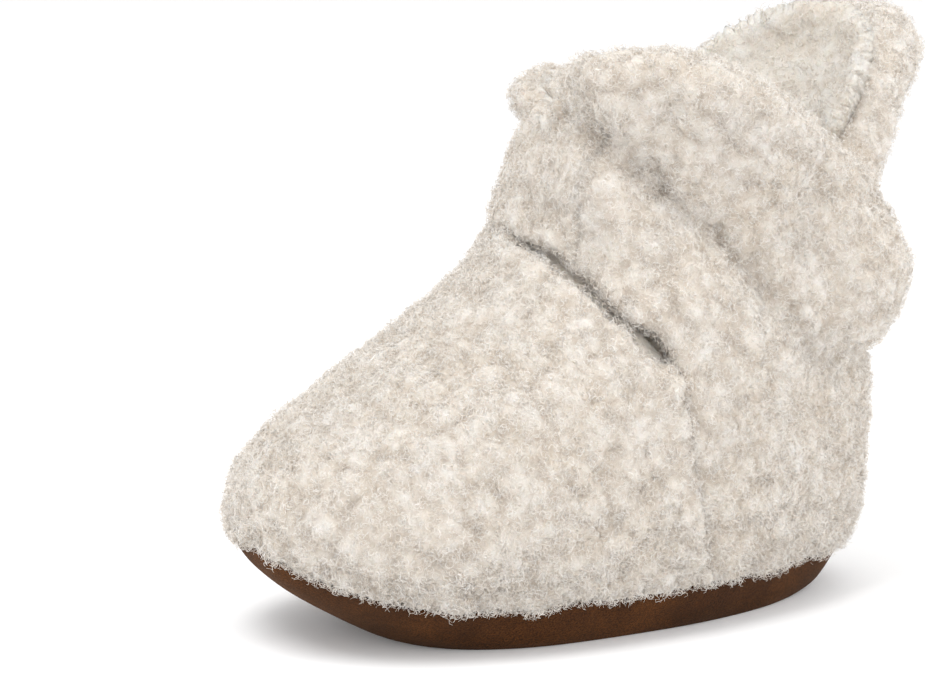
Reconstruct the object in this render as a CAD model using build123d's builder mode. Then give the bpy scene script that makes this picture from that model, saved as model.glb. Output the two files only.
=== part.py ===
from build123d import *
import os
from math import cos, exp, hypot, pi, radians, sin

# Baby bootie for the right foot: soft suede sole, curly sherpa upper, fleece lining, an elastic
# ankle and a wrap flap that closes over the front with two snaps on the outer side of the foot.
# Millimetres. +Z is up, the toe points to -Y, the heel to +Y, and +X is the inner side of the
# foot. The origin is on the floor under the middle of the sole.

# ---------------------------------------------------------------- driving dimensions
SUEDE = 1.5             # outsole leather
FOAM = 3.0              # pad inside the sole
FOOTBED = 3.0           # fleece insole
PILE = 3.9              # sherpa with its pile
LINING = 2.0            # fleece lining
ELASTIC = 0.7           # ankle elastic
TONGUE = 2.8            # tongue behind the top edge of the vamp
GAP = 0.1               # air between layers that are sewn together
SLIP = 0.6              # air between the wrap flap and what it covers

SEAM_HEIGHT = 8.6       # sole seam above the floor, under the arch
SEAM_CLIMB = 0.7        # share of the toe spring that the sole seam follows
TOE_SPRING_FROM = -28   # the sole leaves the floor in front of this Y
TOE_SPRING = 0.0125     # growth of the toe spring, per millimetre squared
FOOTBED_INSET = 10.0    # foam and insole stop this far inside the widest outline

VAMP_SEAM_FOOT = 16.2   # Y of the vamp seam at the floor
VAMP_SEAM_LEAN = 0.167  # forward lean of that seam

SWING_Y = 5.0           # fold line of the wrap flap on the inner side
FOLD_SLIT = 0.3         # slit between the parts of the flap at a fold line
FLAP_END_Y = 25.0       # free edge of the flap on the outer side
FLAP_TOP_Z = 96.0       # top of the flap's free end
FLAP_LOW_Z = 71.0       # lower edge of the flap at the front and on the outer side
FLAP_ROOT_Z = 50.0      # lower edge where the flap leaves the quarter, on the inner side
FLAP_CORNER = 9.0       # rounding of the flap's free corners
FLAP_MARGIN = 1.0       # air between the flap's edge and the vamp and quarter
SWING_CLEARANCE = 4.0   # how far the vamp stays in front of the slanted edge, which swings over it
STEP = 4.0              # width of the step where the quarter goes under the flap

TONGUE_HALF_WIDTH = 19.0
TONGUE_LOW_Z = 48.0
TONGUE_TOP_Z = 90.0
TONGUE_CORNER = 10.0

ELASTIC_WIDTH = 8.0
ELASTIC_FRONT_Z = 76.0
ELASTIC_BACK_Z = 52.0

SNAP_Y = 14.0
SNAP_HEIGHTS = (77.0, 89.0)
CAP_RADIUS = 4.6
SOCKET_RADIUS = 4.3
STUD_RADIUS = 2.0
STUD_CLEARANCE = 0.05
POST_RADIUS = 1.8
BORE_CLEARANCE = 0.1
SEAT_CLEARANCE = 0.4
BORE_DEPTH = 20.0       # deeper than all the layers at the snaps

# Depths below the outer surface at which each layer starts and ends
FLAP_LINING_AT = PILE + GAP
FLAP_END_AT = FLAP_LINING_AT + LINING
ELASTIC_END_AT = FLAP_LINING_AT + ELASTIC
LINING_AT = ELASTIC_END_AT + GAP
LINING_END_AT = LINING_AT + LINING
TONGUE_AT = LINING_END_AT + GAP
TONGUE_END_AT = TONGUE_AT + TONGUE
UNDERLAP_AT = FLAP_END_AT + SLIP
UNDERLAP_END_AT = UNDERLAP_AT + PILE
UNDERLINING_AT = UNDERLAP_END_AT + GAP
UNDERLINING_END_AT = UNDERLINING_AT + LINING

REACH = 200.0           # larger than the bootie in every direction

# Levels of the body from the floor up: height, front and back reach along Y, half width,
# extra half width at the toe end, and squareness of the outline
LEVELS = [
    (0, -30, 38, 20, 3, 2.3),
    (4, -46, 55, 28, 4, 2.3),
    (10, -55, 59, 31, 4, 2.3),
    (20, -62, 62, 33, 4, 2.3),
    (30, -60, 63, 33, 4, 2.2),
    (42, -45, 63, 32, 3, 2.2),
    (54, -27, 60, 30, 0, 2.1),
    (66, -13, 57, 28, 0, 2.0),
    (76, -9, 58, 28, 0, 2.0),
    (90, -8, 65, 32, 0, 2.0),
    (100, -8, 70, 35, 0, 2.0),
    (112, -8, 72, 35, 0, 2.0),
]
WIDEST = LEVELS[3]
OUTLINE_POINTS = 24
NORMAL_STEP = 0.01

# Soft folds of the cuff: direction in degrees from the toe towards +X, angular half width,
# outward push, height of the fullest point and half height
FOLDS = [
    (60, 25, 2.0, 96, 16),
    (140, 24, 8.0, 64, 14),
    (-165, 26, 8.0, 98, 18),
]

# Rim of the cuff as (y, z): the inner side droops towards the heel, the outer side stands up
INNER_RIM = [
    (-REACH, 90), (-8, 91), (-5, 96), (-1, 100), (5, 102), (13, 101), (22, 97), (33, 90), (50, 80), (REACH, 80)
]
OUTER_RIM = [(-REACH, 90), (-6, 91), (6, 95), (20, 97), (42, 98), (56, 86), (REACH, 80)]

# Tall round lobe of the cuff behind the heel, seen from the back: a disc in X and Z
LOBE_X = -9.0
LOBE_Z = 87.0
LOBE_RADIUS = 21.0
LOBE_FROM_Y = 40.0


# ---------------------------------------------------------------- body of the bootie
def signed_power(value, power):
    """Power of a number that keeps the number's sign."""
    return abs(value) ** power * (1 if value >= 0 else -1)


def wall_point(level, angle):
    """Point of a level's outline in the direction of an angle from the toe."""
    _, front, back, half_width, taper, squareness = level
    x = (half_width + taper * cos(angle)) * signed_power(sin(angle), 2 / squareness)
    y = (front + back) / 2 - (back - front) / 2 * signed_power(cos(angle), 2 / squareness)
    return x, y


def fold_push(height, angle):
    """How far the cuff's folds stand out at a height and an angle."""
    push = 0.0
    for centre, width, size, full_height, half_height in FOLDS:
        turn = (angle - radians(centre) + pi) % (2 * pi) - pi
        rise = (height - full_height) / half_height
        push += size * exp(-((turn / radians(width)) ** 2) - rise**2)
    return push


def inset_point(level, angle, inset):
    """Point of a level's outline moved inwards; the folds are only in the outer layer."""
    x, y = wall_point(level, angle)
    x_before, y_before = wall_point(level, angle - NORMAL_STEP)
    x_after, y_after = wall_point(level, angle + NORMAL_STEP)
    along_x = x_after - x_before
    along_y = y_after - y_before
    length = hypot(along_x, along_y)
    outward = fold_push(level[0], angle) * max(0.0, 1 - inset / PILE) - inset
    return x + outward * along_y / length, y - outward * along_x / length


def outline(level, inset):
    """Points around a level."""
    angles = [2 * pi * (k + 0.5) / OUTLINE_POINTS for k in range(OUTLINE_POINTS)]
    return [inset_point(level, angle, inset) for angle in angles]


def lifted(height, inset):
    """Height of a level of an inner surface: the layers of the sole stack up from the floor."""
    return height + inset * max(0.0, 1 - height / WIDEST[0])


def body(inset):
    """Closed body of the bootie, smaller than its outer surface by the inset."""
    with BuildPart() as shape:
        for level in LEVELS:
            with BuildSketch(Plane.XY.offset(lifted(level[0], inset))):
                with BuildLine():
                    Spline(outline(level, inset), periodic=True)
                make_face()
        loft()
    return shape.part


# ---------------------------------------------------------------- blocks that cut the body
WHOLE = [(-REACH, -REACH), (REACH, -REACH), (REACH, REACH), (-REACH, REACH)]


def side_block(points, x_from=-REACH, x_to=REACH, round_at=(), radius=FLAP_CORNER):
    """Block with a profile given as (y, z) points, from one X to another."""
    with BuildPart() as block:
        with BuildSketch(Plane.YZ.offset(x_from)) as profile:
            with BuildLine():
                Polyline(*points, close=True)
            make_face()
            if round_at:
                corners = [v for v in profile.vertices() if (v.X, v.Y) in round_at]
                fillet(corners, radius)
        extrude(amount=x_to - x_from)
    return block.part


def toe_rise(y):
    """Height of the sole's underside above the floor."""
    return TOE_SPRING * max(0.0, TOE_SPRING_FROM - y) ** 2


def below_deck(height, climb=1.0):
    """Everything below a deck that follows the toe spring."""
    deck = [(y, height + climb * toe_rise(y)) for y in range(-76, TOE_SPRING_FROM + 1, 4)]
    return side_block(deck + [(REACH, height), (REACH, -REACH), (deck[0][0], -REACH)])


def seam_y(height):
    """Y of the vamp seam at a height."""
    return VAMP_SEAM_FOOT - VAMP_SEAM_LEAN * height


def toe_side_of_seam(shift, x_to=REACH):
    """Everything in front of the vamp seam."""
    profile = [
        (seam_y(-REACH) + shift, -REACH),
        (seam_y(REACH) + shift, REACH),
        (-REACH, REACH),
        (-REACH, -REACH),
    ]
    return side_block(profile, x_to=x_to)


def toe_side_under_fold():
    """Everything in front of the quarter on the inner side: the seam, then the fold line."""
    fold_y = SWING_Y + FOLD_SLIT / 2
    corner_z = FLAP_ROOT_Z + STEP
    profile = [
        (seam_y(-REACH), -REACH),
        (seam_y(corner_z), corner_z),
        (fold_y, corner_z),
        (fold_y, REACH),
        (-REACH, REACH),
        (-REACH, -REACH),
    ]
    return side_block(profile, x_from=0)


def flap_zone(margin, clearance=0.0):
    """Space of the wrap flap, made larger by a margin, and its slanted inner edge by a clearance."""
    shift = margin + clearance
    top_edge = [(-REACH, FLAP_LOW_Z - margin), (-REACH, REACH)]
    inner = [
        (FLAP_END_Y, REACH),
        (FLAP_END_Y, FLAP_ROOT_Z - margin),
        (9 - shift, FLAP_ROOT_Z - margin),
        (-shift, 61 - margin),
        (-5 - shift, 69 - margin),
        (-9 - shift, FLAP_LOW_Z - margin),
    ]
    outer = [(FLAP_END_Y + margin, REACH), (FLAP_END_Y + margin, FLAP_LOW_Z - margin)]
    with BuildPart() as zone:
        add(side_block(inner + top_edge, x_from=0))
        add(side_block(outer + top_edge, x_to=0))
    return zone.part


def flap_end_limit():
    """Rounded outline of the flap's free end."""
    low = FLAP_LOW_Z
    profile = [(FLAP_END_Y, FLAP_TOP_Z), (FLAP_END_Y, low), (-REACH, low), (-REACH, FLAP_TOP_Z)]
    return side_block(profile, round_at=profile[:2])


def underlap_zone(margin):
    """Space on the outer side where the quarter runs under the flap."""
    profile = [
        (-REACH, FLAP_LOW_Z - margin),
        (FLAP_END_Y + margin, FLAP_LOW_Z - margin),
        (FLAP_END_Y + margin, REACH),
        (-REACH, REACH),
    ]
    return side_block(profile, x_to=0)


def wall_x(height):
    """X of the outer surface on the outer side of the foot, at the snaps."""
    line = Axis((-REACH, SNAP_Y, height), (1, 0, 0))
    return min(point.X for point, _ in surface.find_intersection_points(line))


def snap_discs(radius, depth_from, depth_to):
    """Coaxial discs of both snaps between two depths below the outer surface."""
    with BuildPart() as discs:
        for height, wall in snaps:
            with BuildSketch(Plane.YZ.offset(wall + depth_from)):
                with Locations((SNAP_Y, height)):
                    Circle(radius)
            extrude(amount=depth_to - depth_from)
    return discs.part


surface = body(0)
under_pile = body(PILE)
inside_pile = body(FLAP_LINING_AT)
inside_elastic = body(LINING_AT)
under_lining = body(LINING_END_AT)
inside_suede = body(SUEDE + GAP)
under_underlap = body(UNDERLAP_END_AT)
under_underlining = body(UNDERLINING_END_AT)

below_upper = below_deck(SEAM_HEIGHT + GAP, SEAM_CLIMB)
below_lining = below_deck(SUEDE + FOAM + FOOTBED + GAP)
flap_margin_zone = flap_zone(FLAP_MARGIN)
flap_swing_zone = flap_zone(FLAP_MARGIN, SWING_CLEARANCE)
toe_side = toe_side_of_seam(-GAP)
snaps = [(height, wall_x(height)) for height in SNAP_HEIGHTS]
seat_radius = SOCKET_RADIUS + SEAT_CLEARANCE
post_bores = snap_discs(POST_RADIUS + BORE_CLEARANCE, 0, BORE_DEPTH)
socket_seats = snap_discs(seat_radius, FLAP_END_AT - 1, BORE_DEPTH)
back_seats = snap_discs(seat_radius, UNDERLINING_END_AT, BORE_DEPTH)

with BuildPart() as above_rim:
    for rim, x_from, x_to in ((INNER_RIM, 0, REACH), (OUTER_RIM, -REACH, 0)):
        with BuildSketch(Plane.YZ.offset(x_from)):
            with BuildLine():
                Polyline(*rim, (REACH, REACH), (-REACH, REACH), close=True)
            make_face()
        extrude(amount=x_to - x_from)
    with BuildSketch(Plane.XZ.offset(-LOBE_FROM_Y)):
        with Locations((LOBE_X, LOBE_Z)):
            Circle(LOBE_RADIUS)
    extrude(amount=-REACH, mode=Mode.SUBTRACT)

with BuildPart() as footbed_column:
    with BuildSketch():
        with BuildLine():
            Spline(outline(WIDEST, FOOTBED_INSET), periodic=True)
        make_face()
    extrude(amount=REACH)

# ---------------------------------------------------------------- sole
with BuildPart() as outsole:
    add(surface)
    add(body(SUEDE), mode=Mode.SUBTRACT)
    add(below_deck(SEAM_HEIGHT, SEAM_CLIMB), mode=Mode.INTERSECT)

with BuildPart() as sole_foam:
    add(inside_suede)
    add(footbed_column.part, mode=Mode.INTERSECT)
    add(below_deck(SUEDE + FOAM), mode=Mode.INTERSECT)

with BuildPart() as insole:
    add(inside_suede)
    add(footbed_column.part, mode=Mode.INTERSECT)
    add(below_deck(SUEDE + FOAM + FOOTBED), mode=Mode.INTERSECT)
    add(below_deck(SUEDE + FOAM + GAP), mode=Mode.SUBTRACT)

# ---------------------------------------------------------------- vamp and tongue
with BuildPart() as vamp_outer:
    add(surface)
    add(under_pile, mode=Mode.SUBTRACT)
    add(toe_side, mode=Mode.INTERSECT)
    add(below_upper, mode=Mode.SUBTRACT)
    add(flap_swing_zone, mode=Mode.SUBTRACT)

with BuildPart() as vamp_lining:
    add(inside_elastic)
    add(under_lining, mode=Mode.SUBTRACT)
    add(toe_side, mode=Mode.INTERSECT)
    add(below_lining, mode=Mode.SUBTRACT)
    add(flap_margin_zone, mode=Mode.SUBTRACT)

with BuildPart() as tongue:
    add(body(TONGUE_AT))
    add(body(TONGUE_END_AT), mode=Mode.SUBTRACT)
    add(toe_side, mode=Mode.INTERSECT)
    with BuildSketch(Plane.XZ):
        with Locations((0, (TONGUE_LOW_Z + TONGUE_TOP_Z) / 2)):
            RectangleRounded(2 * TONGUE_HALF_WIDTH, TONGUE_TOP_Z - TONGUE_LOW_Z, TONGUE_CORNER)
    extrude(amount=REACH, both=True, mode=Mode.INTERSECT)

# ---------------------------------------------------------------- heel quarter with the cuff
tip_zone = underlap_zone(FLAP_MARGIN)
step_zone = underlap_zone(FLAP_MARGIN + STEP)
lining_step_start = underlap_zone(FLAP_MARGIN + STEP + GAP)
lining_step_zone = underlap_zone(FLAP_MARGIN + STEP + GAP + LINING)
outer_toe_side = toe_side_of_seam(0, x_to=0)
inner_toe_side = toe_side_under_fold()

with BuildPart() as quarter_wall:
    add(surface)
    add(under_pile, mode=Mode.SUBTRACT)
    add(tip_zone, mode=Mode.SUBTRACT)

with BuildPart() as quarter_step:
    add(surface)
    add(under_underlap, mode=Mode.SUBTRACT)
    add(step_zone, mode=Mode.INTERSECT)
    add(tip_zone, mode=Mode.SUBTRACT)

with BuildPart() as quarter_underlap:
    add(body(UNDERLAP_AT))
    add(under_underlap, mode=Mode.SUBTRACT)
    add(step_zone, mode=Mode.INTERSECT)

with BuildPart() as quarter_outer:
    add(quarter_wall.part)
    add(quarter_step.part)
    add(quarter_underlap.part)
    add(outer_toe_side, mode=Mode.SUBTRACT)
    add(inner_toe_side, mode=Mode.SUBTRACT)
    add(below_upper, mode=Mode.SUBTRACT)
    add(above_rim.part, mode=Mode.SUBTRACT)
    add(snap_discs(CAP_RADIUS + SEAT_CLEARANCE, 0, UNDERLAP_AT + 1), mode=Mode.SUBTRACT)
    add(post_bores, mode=Mode.SUBTRACT)
    add(back_seats, mode=Mode.SUBTRACT)

with BuildPart() as lining_wall:
    add(inside_elastic)
    add(under_lining, mode=Mode.SUBTRACT)
    add(lining_step_start, mode=Mode.SUBTRACT)

with BuildPart() as lining_step:
    add(inside_elastic)
    add(under_underlining, mode=Mode.SUBTRACT)
    add(lining_step_zone, mode=Mode.INTERSECT)
    add(lining_step_start, mode=Mode.SUBTRACT)

with BuildPart() as lining_underlap:
    add(body(UNDERLINING_AT))
    add(under_underlining, mode=Mode.SUBTRACT)
    add(lining_step_zone, mode=Mode.INTERSECT)

with BuildPart() as quarter_lining:
    add(lining_wall.part)
    add(lining_step.part)
    add(lining_underlap.part)
    add(outer_toe_side, mode=Mode.SUBTRACT)
    add(inner_toe_side, mode=Mode.SUBTRACT)
    add(below_lining, mode=Mode.SUBTRACT)
    add(above_rim.part, mode=Mode.SUBTRACT)
    add(post_bores, mode=Mode.SUBTRACT)
    add(back_seats, mode=Mode.SUBTRACT)

half_band = ELASTIC_WIDTH / 2
with BuildPart() as ankle_elastic:
    add(inside_pile)
    add(body(ELASTIC_END_AT), mode=Mode.SUBTRACT)
    with BuildSketch(Plane.YZ):
        with BuildLine():
            Polyline(
                (SWING_Y + 2, ELASTIC_FRONT_Z - half_band),
                (SWING_Y + 2, ELASTIC_FRONT_Z + half_band),
                (REACH / 2, ELASTIC_BACK_Z - half_band),
                (REACH / 2, ELASTIC_BACK_Z - 3 * half_band),
                close=True,
            )
        make_face()
    extrude(amount=REACH, both=True, mode=Mode.INTERSECT)
    add(lining_step_zone, mode=Mode.SUBTRACT)

# ---------------------------------------------------------------- wrap flap
low_z = FLAP_LOW_Z
below_flap_front = side_block([(-REACH, -REACH), (REACH, -REACH), (REACH, low_z), (-REACH, low_z)])
fold_y = SWING_Y - FOLD_SLIT / 2
behind_fold = side_block([(fold_y, -REACH), (REACH, -REACH), (REACH, REACH), (fold_y, REACH)])
flap_space = flap_zone(0)

with BuildPart() as base_zone:
    add(flap_space)
    add(side_block(WHOLE, x_to=FOLD_SLIT / 2), mode=Mode.SUBTRACT)
    add(behind_fold, mode=Mode.SUBTRACT)

with BuildPart() as tip_space:
    add(flap_space)
    add(side_block(WHOLE, x_from=-FOLD_SLIT / 2), mode=Mode.SUBTRACT)
    add(flap_end_limit(), mode=Mode.INTERSECT)

with BuildPart() as flap_outer:
    add(surface)
    add(under_pile, mode=Mode.SUBTRACT)
    add(above_rim.part, mode=Mode.SUBTRACT)

with BuildPart() as flap_inner:
    add(inside_pile)
    add(body(FLAP_END_AT), mode=Mode.SUBTRACT)
    add(above_rim.part, mode=Mode.SUBTRACT)

with BuildPart() as flap_base_outer:
    add(flap_outer.part)
    add(base_zone.part, mode=Mode.INTERSECT)

with BuildPart() as flap_base_lining:
    add(flap_inner.part)
    add(base_zone.part, mode=Mode.INTERSECT)
    add(below_flap_front, mode=Mode.SUBTRACT)

with BuildPart() as flap_tip_outer:
    add(flap_outer.part)
    add(tip_space.part, mode=Mode.INTERSECT)
    add(snap_discs(CAP_RADIUS + BORE_CLEARANCE, -BORE_DEPTH, 1), mode=Mode.SUBTRACT)
    add(post_bores, mode=Mode.SUBTRACT)
    add(socket_seats, mode=Mode.SUBTRACT)

with BuildPart() as flap_tip_lining:
    add(flap_inner.part)
    add(tip_space.part, mode=Mode.INTERSECT)
    add(post_bores, mode=Mode.SUBTRACT)
    add(socket_seats, mode=Mode.SUBTRACT)

# ---------------------------------------------------------------- snaps
SOCKET_AT = FLAP_END_AT - 1 + GAP
SOCKET_END_AT = FLAP_END_AT + 0.2
STUD_FLANGE_AT = UNDERLAP_AT + 0.1
STUD_FLANGE_END_AT = UNDERLAP_AT + 0.9
STUD_HEAD_AT = SOCKET_AT + 0.4
BACK_AT = UNDERLINING_END_AT + GAP

with BuildPart() as snap_caps:
    add(snap_discs(CAP_RADIUS, -0.5, 0.8))
    fillet(snap_caps.faces().filter_by(Axis.X).group_by(Axis.X)[0].edges(), 0.4)
    add(snap_discs(POST_RADIUS, 0.8, SOCKET_AT - GAP))

with BuildPart() as snap_sockets:
    add(snap_discs(SOCKET_RADIUS, SOCKET_AT, SOCKET_END_AT))
    add(snap_discs(STUD_RADIUS + STUD_CLEARANCE, SOCKET_AT + 0.2, SOCKET_END_AT), mode=Mode.SUBTRACT)

with BuildPart() as snap_studs:
    add(snap_discs(SOCKET_RADIUS, STUD_FLANGE_AT, STUD_FLANGE_END_AT))
    add(snap_discs(STUD_RADIUS, STUD_HEAD_AT, STUD_FLANGE_AT))

with BuildPart() as snap_backs:
    add(snap_discs(POST_RADIUS, STUD_FLANGE_END_AT + GAP, BACK_AT))
    add(snap_discs(SOCKET_RADIUS, BACK_AT, BACK_AT + 0.8))

# ---------------------------------------------------------------- write every piece
pieces = {
    "outsole": outsole,
    "sole_foam": sole_foam,
    "insole": insole,
    "vamp_outer": vamp_outer,
    "vamp_lining": vamp_lining,
    "tongue": tongue,
    "quarter_outer": quarter_outer,
    "quarter_lining": quarter_lining,
    "ankle_elastic": ankle_elastic,
    "flap_base_outer": flap_base_outer,
    "flap_base_lining": flap_base_lining,
    "flap_tip_outer": flap_tip_outer,
    "flap_tip_lining": flap_tip_lining,
    "snap_caps": snap_caps,
    "snap_sockets": snap_sockets,
    "snap_studs": snap_studs,
    "snap_backs": snap_backs,
}
os.makedirs("parts", exist_ok=True)
for name, piece in pieces.items():
    piece.part.label = name
    export_step(piece.part, f"parts/{name}.step")
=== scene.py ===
"""Looks of the baby bootie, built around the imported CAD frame."""

import math

import bmesh
import bpy
import numpy as np
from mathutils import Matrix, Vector
from mathutils.bvhtree import BVHTree


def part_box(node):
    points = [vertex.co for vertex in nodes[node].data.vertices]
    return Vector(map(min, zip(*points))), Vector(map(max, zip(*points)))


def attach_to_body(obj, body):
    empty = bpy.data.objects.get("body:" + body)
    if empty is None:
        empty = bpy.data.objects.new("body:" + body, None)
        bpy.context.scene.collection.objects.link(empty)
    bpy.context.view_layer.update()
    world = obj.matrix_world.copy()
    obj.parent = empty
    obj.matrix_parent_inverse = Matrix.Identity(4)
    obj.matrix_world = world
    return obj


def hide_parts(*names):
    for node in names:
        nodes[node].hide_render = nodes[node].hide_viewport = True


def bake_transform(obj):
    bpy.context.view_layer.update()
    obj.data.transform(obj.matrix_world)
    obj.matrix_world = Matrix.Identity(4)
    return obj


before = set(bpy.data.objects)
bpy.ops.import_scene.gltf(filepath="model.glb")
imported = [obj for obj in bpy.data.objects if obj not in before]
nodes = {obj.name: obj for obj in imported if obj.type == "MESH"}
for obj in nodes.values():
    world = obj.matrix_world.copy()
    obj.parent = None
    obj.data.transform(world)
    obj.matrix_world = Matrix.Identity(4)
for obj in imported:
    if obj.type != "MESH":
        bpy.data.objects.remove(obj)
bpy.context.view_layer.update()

MM = 0.001
ROOT, BASE, TIP = "root", "flap_base", "flap_tip"

FINE = 0.6 * MM         # voxel of the finished soft pieces
COARSE = 1.3 * MM       # voxel of the shapes that are simulated
NUB = 4.6               # spacing of the soft nubs of the pile, in millimetres
CURL = 2.1              # spacing of the curls on the nubs
NUB_SHARE, CURL_SHARE = 0.68, 0.32      # parts they play in the height of the pile
PILE_MIDDLE = 0.45      # pile level that stays at the cloth's own surface
PILE_LIFT = 0.2         # everything is lifted by this, in millimetres
RANDOM_CELLS = 4099
COVER = 5 * MM          # pile closer than this under another piece has no loose fibres


# ------------------------------------------------------------------ mesh helpers
def read_coords(mesh):
    """Vertex coordinates as an array."""
    flat = np.empty(len(mesh.vertices) * 3, np.float32)
    mesh.vertices.foreach_get("co", flat)
    return flat.reshape(-1, 3).astype(float)


def write_coords(mesh, coords):
    mesh.vertices.foreach_set("co", np.asarray(coords, np.float32).ravel())
    mesh.update()


def read_normals(mesh):
    flat = np.empty(len(mesh.vertices) * 3, np.float32)
    mesh.vertex_normals.foreach_get("vector", flat)
    return flat.reshape(-1, 3).astype(float)


def new_object(name, mesh):
    obj = bpy.data.objects.new(name, mesh)
    bpy.context.scene.collection.objects.link(obj)
    return obj


def joined_copy(name, *node_names):
    """New object with copies of the meshes of some CAD nodes."""
    shape = bmesh.new()
    for node_name in node_names:
        shape.from_mesh(nodes[node_name].data)
    mesh = bpy.data.meshes.new(name)
    shape.to_mesh(mesh)
    shape.free()
    return new_object(name, mesh)


def apply_modifiers(obj):
    """Replaces the object's mesh by its mesh with all modifiers applied."""
    graph = bpy.context.evaluated_depsgraph_get()
    graph.update()
    mesh = bpy.data.meshes.new_from_object(obj.evaluated_get(graph))
    old = obj.data
    obj.modifiers.clear()
    obj.data = mesh
    bpy.data.meshes.remove(old)


def remesh(obj, voxel):
    """Closes the shape into one even skin."""
    step = obj.modifiers.new("remesh", "REMESH")
    step.mode = "VOXEL"
    step.voxel_size = voxel
    apply_modifiers(obj)


def smooth(obj, times, factor=0.5):
    step = obj.modifiers.new("smooth", "SMOOTH")
    step.iterations = times
    step.factor = factor
    apply_modifiers(obj)


def shade_smooth(obj):
    obj.data.polygons.foreach_set("use_smooth", [True] * len(obj.data.polygons))
    obj.data.update()


def puff(obj, pressure, cap, pinned, frames=14):
    """Inflates a closed soft piece by cloth simulation; no point moves further than the cap."""
    before = read_coords(obj.data)
    group = obj.vertex_groups.new(name="pinned")
    for index in np.nonzero(pinned(before / MM))[0]:
        group.add([int(index)], 1.0, "REPLACE")
    cloth = obj.modifiers.new("cloth", "CLOTH")
    cloth.settings.quality = 4
    cloth.settings.mass = 0.2
    cloth.settings.tension_stiffness = 12
    cloth.settings.compression_stiffness = 12
    cloth.settings.bending_stiffness = 1.5
    cloth.settings.use_pressure = True
    cloth.settings.uniform_pressure_force = pressure
    cloth.settings.vertex_group_mass = "pinned"
    cloth.settings.effector_weights.gravity = 0
    cloth.collision_settings.use_collision = False
    cloth.point_cache.frame_start = 1
    cloth.point_cache.frame_end = frames
    for step in range(1, frames + 1):
        bpy.context.scene.frame_set(step)
    apply_modifiers(obj)
    bpy.context.scene.frame_set(1)
    obj.vertex_groups.clear()
    after = read_coords(obj.data)
    move = after - before
    length = np.linalg.norm(move, axis=1, keepdims=True) + 1e-12
    write_coords(obj.data, before + move * np.minimum(1, cap / length))


# ------------------------------------------------------------------ smooth fields
def bump(value, centre, width):
    """Soft hill of height 1."""
    return np.exp(-(((value - centre) / width) ** 2))


def ramp(value, low, high):
    """Smooth step from 0 at low to 1 at high; high may be below low."""
    t = np.clip((value - low) / (high - low), 0, 1)
    return t * t * (3 - 2 * t)


def turn(angle, centre):
    """Signed difference of two angles in degrees."""
    return (angle - centre + 180) % 360 - 180


def wave_noise(points, size, seed, terms=14):
    """Smooth noise about -1 to 1, with features of the given size, as a sum of random waves."""
    rng = np.random.default_rng(seed)
    total = np.zeros(len(points))
    for _ in range(terms):
        direction = rng.normal(size=3)
        direction /= np.linalg.norm(direction)
        rate = 2 * math.pi / (size * rng.uniform(0.8, 1.7))
        total += np.sin(points @ direction * rate + rng.uniform(0, 2 * math.pi))
    return total / math.sqrt(terms) * 1.1


# ------------------------------------------------------------------ the drape of the cuff
SHAFT_Y = 24.0          # middle of the ankle, in millimetres


def shaft_angle(p):
    """Direction around the ankle in degrees: 0 at the front, 90 on the inner side."""
    return np.degrees(np.arctan2(p[:, 0], SHAFT_Y - p[:, 1]))


# Line of the elastic gathers around the ankle: angle and height
GATHER_LINE = [
    (-180, 54), (-150, 60), (-120, 66), (-90, 74), (-60, 82), (-20, 91), (20, 92), (36, 88),
    (49, 82), (61, 76), (81, 69), (97, 59), (112, 51), (139, 42), (165, 48), (180, 54),
]


def gather_height(angle):
    line = np.array(GATHER_LINE, float)
    return np.interp(angle, line[:, 0], line[:, 1])


def drape(p):
    """Moves points (millimetres) from the plain CAD shape to the soft, gathered shape."""
    angle = shaft_angle(p)
    z = p[:, 2]
    outward = np.stack([np.sin(np.radians(angle)), -np.cos(np.radians(angle)), 0 * z], 1)
    above = z - gather_height(angle)
    snap_side = bump(turn(angle, -82), 0, 34)
    soft = 1 - snap_side
    upper = ramp(z, 30, 48)

    # drawn in by the elastic, and full again below it on the inner side
    push = -4.0 * bump(above, 0, 4.4) * soft * upper
    push += 2.0 * bump(above, -11, 7.0) * bump(turn(angle, 40), 0, 36)
    # pulled in at the front, with the rim rolling out beside it
    push += -2.6 * bump(turn(angle, -4), 0, 24) * ramp(z, 66, 78)
    push += 1.6 * bump(turn(angle, 34), 0, 14) * bump(z, 96, 9)
    # the large ruffle of the cuff and the dent in front of it
    push += 4.4 * bump(turn(angle, 140), 0, 22) * bump(z, 62, 13)
    push += -1.6 * bump(turn(angle, 112), 0, 8) * bump(z, 72, 14)
    gathers = np.sin(np.radians(angle * 11)) * 0.7 + np.sin(np.radians(angle * 17 + 40)) * 0.5
    push += gathers * np.exp(-np.abs(above) / 11) * soft * upper * 0.8
    push += 0.8 * wave_noise(p, 26, 5) * ramp(z, 55, 85) * soft

    lift = 1.6 * bump(turn(angle, 25), 0, 16) * ramp(z, 86, 100)
    lift += -4.5 * bump(turn(angle, -2), 0, 17) * ramp(z, 80, 94)
    moved = p + outward * push[:, None]
    moved[:, 2] += lift
    return moved


def drape_object(obj):
    write_coords(obj.data, drape(read_coords(obj.data) / MM) * MM)


# ------------------------------------------------------------------ curly pile
def cell_random(cells, seed):
    """Four repeatable random numbers from 0 to 1 for each cell of a 3D grid."""
    table = np.random.default_rng(seed).random((RANDOM_CELLS, 4))
    key = cells[:, 0] * 73856093 ^ cells[:, 1] * 19349663 ^ cells[:, 2] * 83492791
    return table[key % RANDOM_CELLS]


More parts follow.
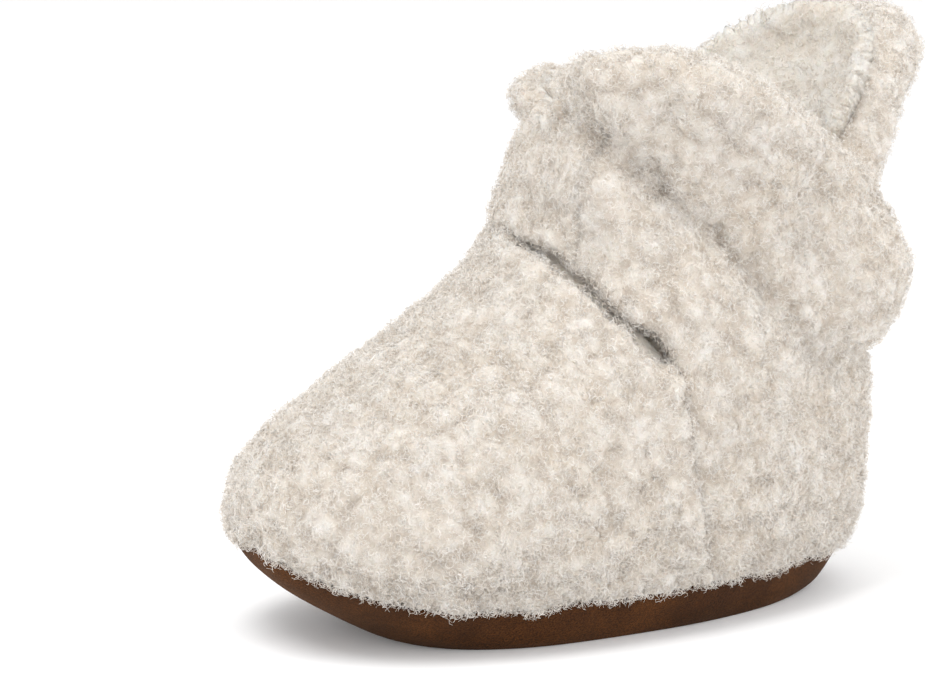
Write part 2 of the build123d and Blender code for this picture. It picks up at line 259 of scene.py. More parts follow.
def nubs(p, spacing, seed, blend=0.05):
    """Height from 0 to 1 of round nubs that meet in soft creases, at points in millimetres."""
    cells = np.floor(p / spacing).astype(np.int64)
    total = np.zeros(len(p))
    for step in np.ndindex(3, 3, 3):
        cell = cells + np.array(step) - 1
        spread = cell_random(cell, seed)
        gap = p / spacing - cell - spread[:, :3]
        total += np.exp(-((gap**2).sum(1) + 0.15 * spread[:, 3]) / blend)
    return np.clip(1 + blend * np.log(total + 1e-12) / 0.75, 0, 1)


def raise_pile(obj, height, mask=None):
    """Lifts the nubs of the pile and stores how deep each point lies between them."""
    mesh = obj.data
    coords = read_coords(mesh)
    normals = read_normals(mesh)
    p = coords / MM
    level = NUB_SHARE * nubs(p, NUB, 1) + CURL_SHARE * nubs(p, CURL, 2)
    rise = height * (level - PILE_MIDDLE) + PILE_LIFT
    if mask is not None:
        rise = rise * mask(p)
    write_coords(mesh, coords + normals * (rise * MM)[:, None])
    # the depth also drives the painted shade in the creases of the sherpa materials
    attribute = mesh.attributes.new("depth", "FLOAT", "POINT")
    attribute.data.foreach_set("value", (1 - level).astype(np.float32))


def scatter(mesh, per_mm2, seed):
    """Random points on a mesh and their normals, at a given number per square millimetre."""
    rng = np.random.default_rng(seed)
    mesh.calc_loop_triangles()
    tris = np.empty(len(mesh.loop_triangles) * 3, np.int32)
    mesh.loop_triangles.foreach_get("vertices", tris)
    tris = tris.reshape(-1, 3)
    coords = read_coords(mesh)
    normals = read_normals(mesh)
    a, b, c = coords[tris[:, 0]], coords[tris[:, 1]], coords[tris[:, 2]]
    area = np.linalg.norm(np.cross(b - a, c - a), axis=1) / 2
    count = int(area.sum() / MM**2 * per_mm2)
    pick = rng.choice(len(tris), count, p=area / area.sum())
    u = np.sqrt(rng.random(count))[:, None]
    v = rng.random(count)[:, None]
    points = a[pick] * (1 - u) + b[pick] * u * (1 - v) + c[pick] * u * v
    directions = normals[tris[pick]].mean(1)
    directions /= np.linalg.norm(directions, axis=1, keepdims=True) + 1e-9
    return points, directions


def open_to_air(points, directions, blockers):
    """Which points have nothing of the other pieces close in front of them."""
    trees = [BVHTree.FromObject(blocker, bpy.context.evaluated_depsgraph_get()) for blocker in blockers]
    free = np.ones(len(points), bool)
    for index, (point, direction) in enumerate(zip(points, directions)):
        start = Vector(point - direction * 0.2 * MM)
        for tree in trees:
            if tree.ray_cast(start, Vector(direction), COVER)[0] is not None:
                free[index] = False
                break
    return free


def perpendicular(normals, rng):
    side = np.cross(normals, rng.normal(size=normals.shape))
    return side / (np.linalg.norm(side, axis=1, keepdims=True) + 1e-9)


def curls(name, roots, normals, seed, length, coil, thickness, rings=6):
    """Mesh of curled fibres: thin closed three-sided tubes that wind away from their roots."""
    rng = np.random.default_rng(seed)
    count = len(roots)
    side = perpendicular(normals, rng)
    lean = rng.uniform(0.2, 1.3, count)[:, None]
    axis = normals + side * lean
    axis /= np.linalg.norm(axis, axis=1, keepdims=True)
    u = perpendicular(axis, rng)
    v = np.cross(axis, u)
    reach = (length * rng.uniform(0.5, 1.15, count))[:, None]
    swing = (coil * rng.uniform(0.5, 1.3, count))[:, None]
    turns = rng.uniform(0.6, 1.5, count)[:, None] * rng.choice([-1, 1], count)[:, None]
    start = rng.uniform(0, 2 * math.pi, count)[:, None]
    path = []
    for ring in range(rings):
        s = ring / (rings - 1)
        phase = start + turns * 2 * math.pi * s
        wind = u * (np.cos(phase) - np.cos(start)) + v * (np.sin(phase) - np.sin(start))
        path.append(roots + axis * reach * (s - 0.25 * s * s) + wind * swing)
    path = np.stack(path, 1)
    tangent = np.gradient(path, axis=1)
    tangent /= np.linalg.norm(tangent, axis=2, keepdims=True) + 1e-12
    wide = np.cross(tangent, axis[:, None, :] + 0.3 * u[:, None, :])
    wide /= np.linalg.norm(wide, axis=2, keepdims=True) + 1e-12
    tall = np.cross(tangent, wide)
    taper = np.linspace(1.0, 0.45, rings)[None, :, None] * thickness
    corners = []
    for corner in range(3):
        phase = corner * 2 * math.pi / 3
        corners.append(path + (wide * math.cos(phase) + tall * math.sin(phase)) * taper)
    verts = np.stack(corners, 2).reshape(-1, 3)
    base = (np.arange(count) * rings * 3)[:, None]
    quads = []
    for ring in range(rings - 1):
        for corner in range(3):
            low = ring * 3 + corner
            low_next = ring * 3 + (corner + 1) % 3
            quads.append([low, low_next, low_next + 3, low + 3])
    quads = (base[:, :, None] + np.array(quads)[None]).reshape(-1, 4)
    last = (rings - 1) * 3
    caps = (base[:, :, None] + np.array([[0, 2, 1], [last, last + 1, last + 2]])[None]).reshape(-1, 3)
    return mesh_from_arrays(name, verts, quads, caps)


def mesh_from_arrays(name, verts, quads, tris):
    mesh = bpy.data.meshes.new(name)
    mesh.vertices.add(len(verts))
    mesh.vertices.foreach_set("co", verts.astype(np.float32).ravel())
    loops = np.concatenate([quads.ravel(), tris.ravel()]).astype(np.int32)
    mesh.loops.add(len(loops))
    mesh.loops.foreach_set("vertex_index", loops)
    sizes = np.concatenate([np.full(len(quads), 4), np.full(len(tris), 3)]).astype(np.int32)
    mesh.polygons.add(len(sizes))
    starts = np.concatenate([[0], np.cumsum(sizes)[:-1]]).astype(np.int32)
    mesh.polygons.foreach_set("loop_start", starts)
    mesh.update(calc_edges=True)
    mesh.validate()
    return mesh


# ------------------------------------------------------------------ materials
def new_material(name):
    material = bpy.data.materials.new(name)
    material.use_nodes = True
    tree = material.node_tree
    shader = tree.nodes["Principled BSDF"]
    return material, tree, shader


def add_node(tree, kind, **settings):
    node = tree.nodes.new(kind)
    for key, value in settings.items():
        if key in node.inputs:
            node.inputs[key].default_value = value
        else:
            setattr(node, key, value)
    return node


def colour_ramp(tree, factor, stops):
    node = tree.nodes.new("ShaderNodeValToRGB")
    ramp_data = node.color_ramp
    while len(ramp_data.elements) < len(stops):
        ramp_data.elements.new(0.5)
    for element, (position, colour) in zip(ramp_data.elements, stops):
        element.position = position
        element.color = (*colour, 1)
    tree.links.new(factor, node.inputs["Fac"])
    return node


def object_position(tree):
    return tree.nodes.new("ShaderNodeTexCoord").outputs["Object"]


def noise_node(tree, position, size, detail=3.0, distortion=0.0, roughness=0.55):
    node = add_node(
        tree, "ShaderNodeTexNoise", Scale=1 / size, Detail=detail, Roughness=roughness, Distortion=distortion
    )
    tree.links.new(position, node.inputs["Vector"])
    return node


def mix_colours(tree, factor, a, b, blend="MIX"):
    node = tree.nodes.new("ShaderNodeMix")
    node.data_type = "RGBA"
    node.blend_type = blend
    for value, slot in ((factor, 0), (a, 6), (b, 7)):
        if isinstance(value, bpy.types.NodeSocket):
            tree.links.new(value, node.inputs[slot])
        else:
            node.inputs[slot].default_value = value if slot == 0 else (*value, 1)
    return node.outputs[2]


def chain_bumps(tree, shader, heights):
    """Stacks bump nodes: (height output, distance, strength)."""
    normal = None
    for height, distance, strength in heights:
        node = add_node(tree, "ShaderNodeBump", Distance=distance, Strength=strength)
        tree.links.new(height, node.inputs["Height"])
        if normal is not None:
            tree.links.new(normal, node.inputs["Normal"])
        normal = node.outputs["Normal"]
    tree.links.new(normal, shader.inputs["Normal"])


def sherpa_material(name, light, shade, curl=0.42 * MM):
    """Curly wool-like pile: white curls, with painted shade, warmer and darker, in the creases between the
    nubs.
    """
    material, tree, shader = new_material(name)
    position = object_position(tree)
    depth = tree.nodes.new("ShaderNodeAttribute")
    depth.attribute_name = "depth"
    # painted shade: deep points between the nubs get the darker, warmer shade colour, raised points the light
    # colour
    roots = colour_ramp(tree, depth.outputs["Fac"], [(0.15, light), (0.62, shade)])
    patches = noise_node(tree, position, 14 * MM, 2)
    tint = colour_ramp(tree, patches.outputs["Fac"], [(0.35, (0.97, 0.95, 0.92)), (0.65, (1, 1, 1))])
    colour = mix_colours(tree, 1.0, roots.outputs["Color"], tint.outputs["Color"], "MULTIPLY")
    strands = noise_node(tree, position, curl, 4, 2.6, 0.62)
    # random strand tone, and painted shade: darker where the strand noise is low, in the grooves of the
    # strand bump
    strand_tone_and_groove_shade = colour_ramp(tree, strands.outputs["Fac"], [(0.36, (0.93, 0.91, 0.88)), (0.56, (1, 1, 1))])
    colour = mix_colours(tree, 1.0, colour, strand_tone_and_groove_shade.outputs["Color"], "MULTIPLY")
    tree.links.new(colour, shader.inputs["Base Color"])
    loops = noise_node(tree, position, 1.1 * MM, 3, 1.4)
    chain_bumps(
        tree, shader, [(loops.outputs["Fac"], 0.8 * MM, 0.7), (strands.outputs["Fac"], 0.45 * MM, 0.9)]
    )
    shader.inputs["Roughness"].default_value = 0.95
    shader.inputs["Specular IOR Level"].default_value = 0.12
    shader.inputs["Sheen Weight"].default_value = 0.35
    shader.inputs["Sheen Roughness"].default_value = 0.6
    shader.inputs["Sheen Tint"].default_value = (1, 0.97, 0.93, 1)
    shader.inputs["Subsurface Weight"].default_value = 0.45
    shader.inputs["Subsurface Radius"].default_value = (1.0, 0.85, 0.7)
    shader.inputs["Subsurface Scale"].default_value = 2.0 * MM
    return material


def fibre_material(name, colour):
    """Loose wool-like fibre; it has one even tint, so that the many fibres stay cheap to bake."""
    material, _, shader = new_material(name)
    shader.inputs["Base Color"].default_value = (*colour, 1)
    shader.inputs["Roughness"].default_value = 0.75
    shader.inputs["Specular IOR Level"].default_value = 0.2
    shader.inputs["Sheen Weight"].default_value = 0.3
    return material


def suede_material():
    """Napped brown suede: fine grain over cloudy brush marks."""
    material, tree, shader = new_material("suede")
    position = object_position(tree)
    clouds = noise_node(tree, position, 16 * MM, 4, 0.6)
    # cloudy brush-mark tone of the suede, and painted shade: the whole brown is darker than the lit suede,
    # standing in for the shade on its band along the bottom
    base = colour_ramp(
        tree,
        clouds.outputs["Fac"],
        [(0.30, (0.024, 0.008, 0.002)), (0.52, (0.041, 0.014, 0.003)), (0.72, (0.065, 0.023, 0.005))],
    )
    grain = noise_node(tree, position, 0.30 * MM, 3, 0.4)
    speck = colour_ramp(tree, grain.outputs["Fac"], [(0.36, (0.45, 0.42, 0.40)), (0.64, (1.75, 1.7, 1.6))])
    colour = mix_colours(tree, 1.0, base.outputs["Color"], speck.outputs["Color"], "MULTIPLY")
    tree.links.new(colour, shader.inputs["Base Color"])
    nap = noise_node(tree, position, 1.3 * MM, 3, 0.8)
    chain_bumps(
        tree, shader, [(nap.outputs["Fac"], 0.35 * MM, 0.35), (grain.outputs["Fac"], 0.22 * MM, 0.8)]
    )
    shader.inputs["Roughness"].default_value = 0.93
    shader.inputs["Specular IOR Level"].default_value = 0.18
    shader.inputs["Sheen Weight"].default_value = 0.06
    shader.inputs["Sheen Roughness"].default_value = 0.45
    shader.inputs["Sheen Tint"].default_value = (0.85, 0.5, 0.25, 1)
    return material


def foam_material():
    material, tree, shader = new_material("foam")
    position = object_position(tree)
    cells = add_node(tree, "ShaderNodeTexVoronoi", Scale=1 / (0.8 * MM))
    tree.links.new(position, cells.inputs["Vector"])
    base = colour_ramp(
        tree, cells.outputs["Distance"], [(0.1, (0.80, 0.77, 0.68)), (0.7, (0.60, 0.57, 0.49))]
    )
    tree.links.new(base.outputs["Color"], shader.inputs["Base Color"])
    chain_bumps(tree, shader, [(cells.outputs["Distance"], 0.4 * MM, 0.6)])
    shader.inputs["Roughness"].default_value = 0.9
    return material


def elastic_material():
    material, tree, shader = new_material("elastic")
    position = object_position(tree)
    weave = add_node(tree, "ShaderNodeTexWave", Scale=1 / (2.2 * MM), Distortion=0.6)
    weave.bands_direction = "Z"
    tree.links.new(position, weave.inputs["Vector"])
    base = colour_ramp(tree, weave.outputs["Fac"], [(0.2, (0.62, 0.60, 0.56)), (0.7, (0.84, 0.83, 0.80))])
    tree.links.new(base.outputs["Color"], shader.inputs["Base Color"])
    chain_bumps(tree, shader, [(weave.outputs["Fac"], 0.3 * MM, 0.8)])
    shader.inputs["Roughness"].default_value = 0.8
    return material


def snap_material():
    material, tree, shader = new_material("snap_metal")
    position = object_position(tree)
    brushed = noise_node(tree, position, 0.5 * MM, 5)
    base = colour_ramp(tree, brushed.outputs["Fac"], [(0.35, (0.52, 0.50, 0.47)), (0.65, (0.68, 0.66, 0.62))])
    tree.links.new(base.outputs["Color"], shader.inputs["Base Color"])
    gloss = colour_ramp(tree, brushed.outputs["Fac"], [(0.3, (0.26, 0.26, 0.26)), (0.7, (0.42, 0.42, 0.42))])
    tree.links.new(gloss.outputs["Color"], shader.inputs["Roughness"])
    chain_bumps(tree, shader, [(brushed.outputs["Fac"], 0.05 * MM, 0.3)])
    shader.inputs["Metallic"].default_value = 1.0
    return material


def use_material(obj, material):
    obj.data.materials.clear()
    obj.data.materials.append(material)


# second colour of each sherpa: the painted shade in the creases between the nubs
sherpa = sherpa_material("sherpa", (0.92, 0.88, 0.83), (0.80, 0.73, 0.65))
# lining fleece: a lighter copy of the sherpa; part of its extra lightness is painted light on the rear lobe
# and cuff
inner_sherpa = sherpa_material("inner_sherpa", (0.97, 0.945, 0.90), (0.90, 0.85, 0.78))
fibres = [
    fibre_material("fibre_white", (0.95, 0.915, 0.87)),
    fibre_material("fibre_cream", (0.90, 0.845, 0.775)),
    fibre_material("fibre_sand", (0.76, 0.68, 0.59)),
]
suede = suede_material()
foam = foam_material()
elastic = elastic_material()
snap_metal = snap_material()


# ------------------------------------------------------------------ soft pieces
# The sherpa of the heel and cuff runs on into the wrap flap, which folds again in front.
FRONT_SPLIT = 16.0      # X in millimetres where the two cloth pieces of the upper meet
OVERLAP = 0.4           # they reach this far into each other
SNAP_ANGLE, SNAP_HALF_ANGLE = -85, 30   # part of the ankle that the snaps hold flat, in degrees
LINING_VOXEL = 0.8 * MM
PILE_RISE = 1.8         # height of the nubs in millimetres
RIM_ROLL = 3.7          # radius of the rolled rim
FLAP_ROLL = 3.3         # radius of the rolled lower edge of the flap
LOBE_ROLL = 4.6         # radius of the rolled edge of the rear lobe
HEM_ROLL = 2.3          # radius of the pile's lower edge
HEM_DROP = 0.7          # how far it hangs over the suede
LOBE_FILL = 2.2         # extra thickness inside the rear lobe
SEAM_ROLL = 2.2         # radius of the pile along the side seams
HEM_BELOW = 30.0        # the hem is lower than this everywhere
SOLE_VOXEL = 0.5 * MM
EMBOSS = 0.5            # depth of the rings under the sole
RINGS = ((-22, 9), (4, 13), (30, 9))    # Y of their middle and their radius, in millimetres
RING_WIDTH = 1.6

LOOSE_LENGTH = 1.7 * MM         # loose fibres on the pile
FRINGE_LENGTH = 2.2 * MM        # loose fibres over the edge of the suede
COIL = 0.45 * MM                # radius of their curl
THICKNESS = 0.06 * MM
FIBRES_EACH = 6000              # most fibres in one mesh
PILE_FIBRES, CUFF_FIBRES, FRINGE_FIBRES = 2.4, 1.0, 3   # fibres per square millimetre


def ride_root(obj):
    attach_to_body(obj, ROOT)


def bend_at_swing(obj):
    """Bakes the transform of a piece of the quarter into its mesh."""
    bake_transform(obj)


def bend_at_peel(obj):
    """Bakes the transform of a piece of the flap into its mesh."""
    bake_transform(obj)


def cut_front(obj, x, keep_above):
    """Cuts a closed mesh in front of the ankle at an X, in millimetres, and closes the cut."""
    shape = bmesh.new()
    shape.from_mesh(obj.data)
    front = [face for face in shape.faces if in_front(face.calc_center_median() / MM)]
    verts = {vert for face in front for vert in face.verts}
    edges = {edge for face in front for edge in face.edges}
    cut = bmesh.ops.bisect_plane(
        shape,
        geom=list(verts) + list(edges) + front,
        plane_co=(x * MM, 0, 0),
        plane_no=(1 if keep_above else -1, 0, 0),
        clear_inner=True,
    )
    edges = [item for item in cut["geom_cut"] if isinstance(item, bmesh.types.BMEdge)]
    bmesh.ops.holes_fill(shape, edges=edges)
    shape.to_mesh(obj.data)
    shape.free()


def edge_path(obj, step, lowest=False, angles=(-180, 180)):
    """Points in millimetres along the top or bottom edge of a piece, one per step of angle."""
    p = read_coords(obj.data) / MM
    angle = shaft_angle(p)
    sign = -1 if lowest else 1
    path = []
    for centre in np.arange(angles[0], angles[1], step):
        sector = p[np.abs(turn(angle, centre)) < step * 0.75]
        if len(sector) < 4:
            continue
        limit = (sign * sector[:, 2]).max()
        edge = sector[sign * sector[:, 2] > limit - 1.6]
        path.append((*edge[:, :2].mean(0), sign * limit))
    return np.array(path)


def seam_path(obj, side, front_edge, heights):
    """Points in millimetres along a piece's upright seam edge on one side of the foot."""
    p = read_coords(obj.data) / MM
    forward = -p[:, 1] if front_edge else p[:, 1]
    path = []
    for height in np.arange(*heights, 2.5):
        level = (np.abs(p[:, 2] - height) < 1.3) & (p[:, 0] * side > 12)
        if level.sum() < 4:
            continue
        edge = level & (forward > forward[level].max() - 1.4)
        x, y = p[edge, :2].mean(0)
        path.append((x, y + (1.2 if front_edge else -1.2), height))
    return np.array(path)


def smooth_path(path, times):
    """Evens out an open path by averaging each point with its neighbours; its ends stay."""
    for _ in range(times):
        before = np.roll(path, 1, axis=0)
        after = np.roll(path, -1, axis=0)
        mean = path / 2 + (before + after) / 4
        mean[0], mean[-1] = path[0], path[-1]
        path = mean
    return path


def add_roll(obj, path, radii):
    """Adds a round bead along a path in millimetres; a remesh fuses it with the piece."""
    centres, sizes = [], []
    for start, end, first, last in zip(path[:-1], path[1:], radii[:-1], radii[1:]):
        count = max(2, int(np.linalg.norm(end - start) / (first * 0.4)))
        for t in np.linspace(0, 1, count, endpoint=False):
            centres.append(start * (1 - t) + end * t)
            sizes.append(first * (1 - t) + last * t)
    template = bmesh.new()
    bmesh.ops.create_icosphere(template, subdivisions=2, radius=1)
    ball = np.array([vert.co for vert in template.verts])
    faces = np.array([[vert.index for vert in face.verts] for face in template.faces])
    template.free()
    verts = np.array(centres)[:, None] + ball[None] * np.array(sizes)[:, None, None]
    tris = faces[None] + np.arange(len(centres))[:, None, None] * len(ball)
    bead = mesh_from_arrays("bead", verts.reshape(-1, 3) * MM, np.empty((0, 4), int), tris.reshape(-1, 3))
    shape = bmesh.new()
    shape.from_mesh(obj.data)
    shape.from_mesh(bead)
    shape.to_mesh(obj.data)
    shape.free()
    bpy.data.meshes.remove(bead)


def middle(path, inner_path):
    """Path halfway between the edges of the sherpa and of its lining, matched by angle."""
    angle = shaft_angle(path)
    inner_angle = shaft_angle(inner_path)
    nearest = [int(np.argmin(np.abs(turn(inner_angle, here)))) for here in angle]
    return (path * 0.62 + inner_path[nearest] * 0.38) * [1, 1, 0] + path * [0, 0, 1]


def in_front(point):
    """Whether a point in millimetres is on the flap where the two cloth pieces meet."""
    return point.x > -8 and point.y < 12 and point.z > 62


def finish_soft(obj, material, attach, stands_for=()):
    use_material(obj, material)
    shade_smooth(obj)
    attach(obj)
    if stands_for:
        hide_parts(*stands_for)


def fill_lobe(obj):
    """Thickens the inner side of the rear lobe, so that it is as fat as a cushion."""
    coords = read_coords(obj.data)
    normals = read_normals(obj.data)
    p = coords / MM
    thick = LOBE_FILL * ramp(p[:, 2], 76, 90) * ramp(p[:, 1], 44, 54) * ramp(-normals[:, 1], 0, 0.6)
    write_coords(obj.data, coords + normals * (thick * MM)[:, None])


def make_lining(name, sources, attach, stands_for, split=None, rise=0.9):
    """Fleece layer inside the sherpa, draped with it."""
    obj = joined_copy(name, *sources)
    remesh(obj, LINING_VOXEL)
    drape_object(obj)
    smooth(obj, 3)
    fill_lobe(obj)
    if split is not None:
        cut_front(obj, *split)
    raise_pile(obj, rise)
    finish_soft(obj, inner_sherpa, attach, stands_for)
    return obj


def make_vamp():
    obj = joined_copy("vamp_pile", "vamp_outer")
    remesh(obj, COARSE)
    hem = smooth_path(edge_path(obj, 3, lowest=True, angles=(-105, 106)), 1)
    hem[:, 2] += HEM_ROLL - HEM_DROP
    add_roll(obj, hem, np.full(len(hem), HEM_ROLL))
    for side, top in ((1, 50), (-1, 68)):
        seam = seam_path(obj, side, False, (13, top))
        add_roll(obj, seam, np.full(len(seam), SEAM_ROLL))
    remesh(obj, COARSE)
    smooth(obj, 3)
    puff(obj, 3.0, 1.4 * MM, nowhere)
    remesh(obj, FINE)
    smooth(obj, 4)
    raise_pile(obj, PILE_RISE)
    finish_soft(obj, sherpa, ride_root, ["vamp_outer"])
    return obj


def make_cloth(name, sources, lining_sources, rim_angles, hem_angles, flap_angles, seams, pinned):
    """Sherpa with a rolled rim, a rolled lower flap edge and a hem that hangs over the suede."""
    obj = joined_copy(name, *sources)
    inside = joined_copy("inside", *lining_sources)
    remesh(obj, COARSE)
    remesh(inside, COARSE)
    inner_edge = edge_path(inside, 4)
    bpy.data.objects.remove(inside)
    rolls = []
    for angles in rim_angles:
        rim = smooth_path(middle(edge_path(obj, 4, angles=angles), inner_edge), 2)
        radii = RIM_ROLL + (LOBE_ROLL - RIM_ROLL) * ramp(rim[:, 1], 38, 52)
        rim[:, 2] -= radii - 1.2
        rolls.append((rim, radii))
    for angles in hem_angles:
        hem = smooth_path(edge_path(obj, 3, lowest=True, angles=angles), 1)
        hem[:, 2] += HEM_ROLL - HEM_DROP
        rolls.append((hem, np.full(len(hem), HEM_ROLL)))
    for side, top in seams:
        seam = seam_path(obj, side, True, (13, top))
        rolls.append((seam, np.full(len(seam), SEAM_ROLL)))
    flap = joined_copy("flap_edge", *[source for source in sources if source.startswith("flap")])
    remesh(flap, COARSE)
    edge = smooth_path(edge_path(flap, 4, lowest=True, angles=flap_angles), 1)
    edge[:, 2] += FLAP_ROLL - 1.6
    rolls.append((edge, np.full(len(edge), FLAP_ROLL)))
    bpy.data.objects.remove(flap)
    for path, radii in rolls:
        add_roll(obj, path, radii)

    remesh(obj, COARSE)
    drape_object(obj)
    smooth(obj, 4)
    puff(obj, 2.0, 1.2 * MM, pinned)
    remesh(obj, FINE)
    smooth(obj, 4)
    return obj


def nowhere(p):
    return np.zeros(len(p), bool)


def near_split(p):
    """Points of the upper where its two cloth pieces meet in front."""
    return (np.abs(p[:, 0] - FRONT_SPLIT) < 9) & (p[:, 1] < 14) & (p[:, 2] > 60)


def near_snap_side(p):
    return np.abs(shaft_angle(p) - SNAP_ANGLE) < SNAP_HALF_ANGLE


def snap_free(p):
    """Share of the pile's height that is left around the snaps."""
    low, high = (np.array(corner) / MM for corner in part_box("snap_caps"))
    gap = np.abs(p - (low + high) / 2) - (high - low) / 2
    return ramp(gap.max(1), 0.5, 3.0) * 0.7 + 0.3


def make_wrap():
    obj = make_cloth(
        "wrap_pile",
        ["quarter_outer", "flap_base_outer"],
        ["quarter_lining", "flap_base_lining"],
        rim_angles=[(4, 181), (-180, -100)],
        hem_angles=[(86, 181), (-180, -88)],
        flap_angles=(2, 58),
        seams=[(1, 50), (-1, 66)],
        pinned=lambda p: near_split(p) | near_snap_side(p),
    )
    cut_front(obj, FRONT_SPLIT - OVERLAP, keep_above=True)
    raise_pile(obj, PILE_RISE)
    finish_soft(obj, sherpa, bend_at_swing, ["quarter_outer", "flap_base_outer"])
    return obj


def make_flap():
    obj = make_cloth(
        "flap_pile",
        ["flap_base_outer", "flap_tip_outer"],
        ["flap_base_lining", "flap_tip_lining"],
        rim_angles=[(-84, 50)],
        hem_angles=[],
        flap_angles=(-84, 50),
        seams=[],
        pinned=lambda p: near_split(p) | near_snap_side(p),
    )
    cut_front(obj, FRONT_SPLIT + OVERLAP, keep_above=False)
    raise_pile(obj, PILE_RISE, snap_free)
    finish_soft(obj, sherpa, bend_at_peel, ["flap_tip_outer"])
    return obj


def make_plain_soft(name, source, voxel, material, rise, draped=False):
    """Soft inner piece with its own even skin."""
    obj = joined_copy(name, source)
    remesh(obj, voxel)
    if draped:
        drape_object(obj)
    smooth(obj, 2)
    if rise:
        raise_pile(obj, rise)
    finish_soft(obj, material, ride_root, [source])
    return obj


def emboss(p):
    """Depth from 0 to 1 of plain rings pressed into the sole's underside."""
    depth = np.zeros(len(p))
    for y, radius in RINGS:
        distance = np.hypot(p[:, 0], p[:, 1] - y)
        depth += bump(distance, radius, RING_WIDTH)
    return depth


def make_sole():
    """Suede sole with softened edges and plain rings pressed into its underside."""
    obj = joined_copy("suede_sole", "outsole")
    remesh(obj, SOLE_VOXEL)
    smooth(obj, 3)
    coords = read_coords(obj.data)
    normals = read_normals(obj.data)
    p = coords / MM
    under = ramp(-normals[:, 2], 0.6, 0.9)
    ripple = 0.18 * wave_noise(p, 14, 31) * (1 - under)
    coords[:, 2] += EMBOSS * emboss(p) * under * MM
    write_coords(obj.data, coords + normals * (ripple * MM)[:, None])
    finish_soft(obj, suede, ride_root, ["outsole"])
    return obj


def make_fibres(name, source, attach, blockers, per_mm2, seed, length=LOOSE_LENGTH, hem=False):
    """Loose curled fibres of one piece, in groups that each stay a light mesh."""
    points, directions = scatter(source.data, per_mm2, seed)
    if hem:
        low = (directions[:, 2] < -0.2) & (points[:, 2] < HEM_BELOW * MM)
        points, directions = points[low], directions[low]
    free = open_to_air(points, directions, blockers)
    points, directions = points[free], directions[free]
    groups = max(len(fibres), math.ceil(len(points) / FIBRES_EACH))
    order = np.random.default_rng(seed).permutation(len(points))
    for group, chosen in enumerate(np.array_split(order, groups)):
        mesh = curls(
            f"{name}_{group + 1}", points[chosen], directions[chosen], seed + group, length, COIL, THICKNESS
        )
        obj = new_object(mesh.name, mesh)
        finish_soft(obj, fibres[group % len(fibres)], attach)


sole = make_sole()
vamp = make_vamp()
wrap = make_wrap()
flap = make_flap()
vamp_inside = make_lining("vamp_fleece", ["vamp_lining"], ride_root, ["vamp_lining"])
wrap_inside = make_lining(
    "wrap_fleece",
    ["quarter_lining", "flap_base_lining"],
    bend_at_swing,
    ["quarter_lining", "flap_base_lining"],
    split=(FRONT_SPLIT - OVERLAP, True),
)
flap_inside = make_lining(
    "flap_fleece",
    ["flap_base_lining", "flap_tip_lining"],
    bend_at_peel,
    ["flap_tip_lining"],
    split=(FRONT_SPLIT + OVERLAP, False),
)
tongue = make_plain_soft("tongue_fleece", "tongue", LINING_VOXEL, inner_sherpa, 0.6)
insole = make_plain_soft("insole_fleece", "insole", LINING_VOXEL, inner_sherpa, 0.6)
make_plain_soft("foam_pad", "sole_foam", LINING_VOXEL, foam, 0)
make_plain_soft("elastic_band", "ankle_elastic", 0.35 * MM, elastic, 0, draped=True)

make_fibres("vamp_curls", vamp, ride_root, [vamp_inside, sole], PILE_FIBRES, 41)
make_fibres("wrap_curls", wrap, bend_at_swing, [wrap_inside, sole], PILE_FIBRES, 51)
make_fibres("flap_curls", flap, bend_at_peel, [flap_inside], PILE_FIBRES, 61)
make_fibres("cuff_curls", wrap_inside, bend_at_swing, [wrap, insole], CUFF_FIBRES, 71)
make_fibres(
    "vamp_fringe", vamp, ride_root, [vamp_inside, sole], FRINGE_FIBRES, 81, FRINGE_LENGTH, hem=True
)
make_fibres(
    "wrap_fringe", wrap, bend_at_swing, [wrap_inside, sole], FRINGE_FIBRES, 91, FRINGE_LENGTH, hem=True
)

for name in ("snap_caps", "snap_sockets", "snap_studs", "snap_backs"):
    use_material(nodes[name], snap_metal)


# ------------------------------------------------------------------ floor, light and camera
FLOOR_HALF = 3.0
CAMERA_AZIMUTH, CAMERA_ELEVATION = 62, 10       # degrees
CAMERA_DISTANCE = 0.52
CAMERA_TARGET = (0, 0, 0.045)
LENS = 110.9
LENS_SHIFT = (-0.103, 0.023)


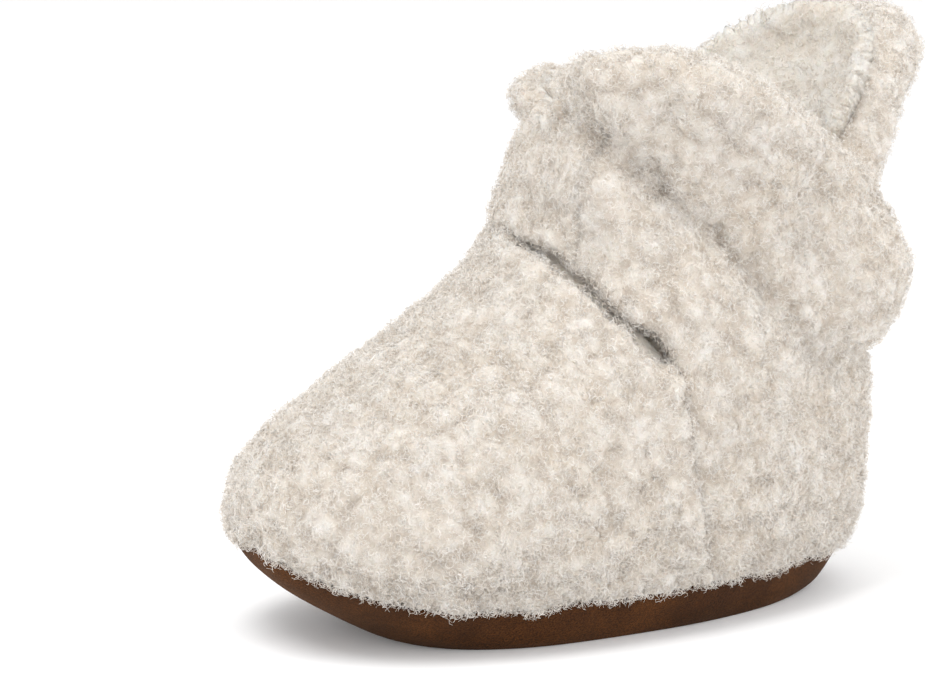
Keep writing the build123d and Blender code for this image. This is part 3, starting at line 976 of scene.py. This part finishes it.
def make_floor():
    mesh = bpy.data.meshes.new("floor")
    half = FLOOR_HALF
    corners = [(-half, -half, 0), (half, -half, 0), (half, half, 0), (-half, half, 0)]
    mesh.from_pydata(corners, [], [(0, 1, 2, 3)])
    obj = new_object("floor", mesh)
    material, _, shader = new_material("floor")
    shader.inputs["Base Color"].default_value = (0.93, 0.93, 0.935, 1)
    shader.inputs["Roughness"].default_value = 0.8
    shader.inputs["Specular IOR Level"].default_value = 0.1
    shader.inputs["Emission Color"].default_value = (1, 1, 1, 1)
    shader.inputs["Emission Strength"].default_value = 0.08
    use_material(obj, material)


def area_light(name, position, target, size, energy, colour=(1, 1, 1)):
    data = bpy.data.lights.new(name, "AREA")
    data.size = size
    data.energy = energy
    data.color = colour
    obj = bpy.data.objects.new(name, data)
    obj.location = position
    obj.rotation_euler = (Vector(target) - Vector(position)).to_track_quat("-Z", "Y").to_euler()
    bpy.context.scene.collection.objects.link(obj)


def make_camera():
    azimuth, elevation = math.radians(CAMERA_AZIMUTH), math.radians(CAMERA_ELEVATION)
    back = Vector(
        (
            math.sin(azimuth) * math.cos(elevation),
            -math.cos(azimuth) * math.cos(elevation),
            math.sin(elevation),
        )
    )
    data = bpy.data.cameras.new("camera")
    data.sensor_width = 36
    data.lens = LENS
    data.shift_x, data.shift_y = LENS_SHIFT
    obj = bpy.data.objects.new("camera", data)
    obj.location = Vector(CAMERA_TARGET) + back * CAMERA_DISTANCE
    obj.rotation_euler = back.to_track_quat("Z", "Y").to_euler()
    bpy.context.scene.collection.objects.link(obj)
    bpy.context.scene.camera = obj


def make_world():
    world = bpy.data.worlds.new("studio")
    world.use_nodes = True
    background = world.node_tree.nodes["Background"]
    background.inputs["Color"].default_value = (1, 1, 1, 1)
    background.inputs["Strength"].default_value = 1.0
    bpy.context.scene.world = world


make_floor()
make_world()
area_light("key", (0.15, -0.45, 1.0), (0, 0, 0.04), 0.5, 5)
area_light("fill", (1.0, 0.30, 0.65), (0, 0, 0.06), 1.0, 5)
make_camera()
bpy.context.scene.view_settings.view_transform = "Standard"
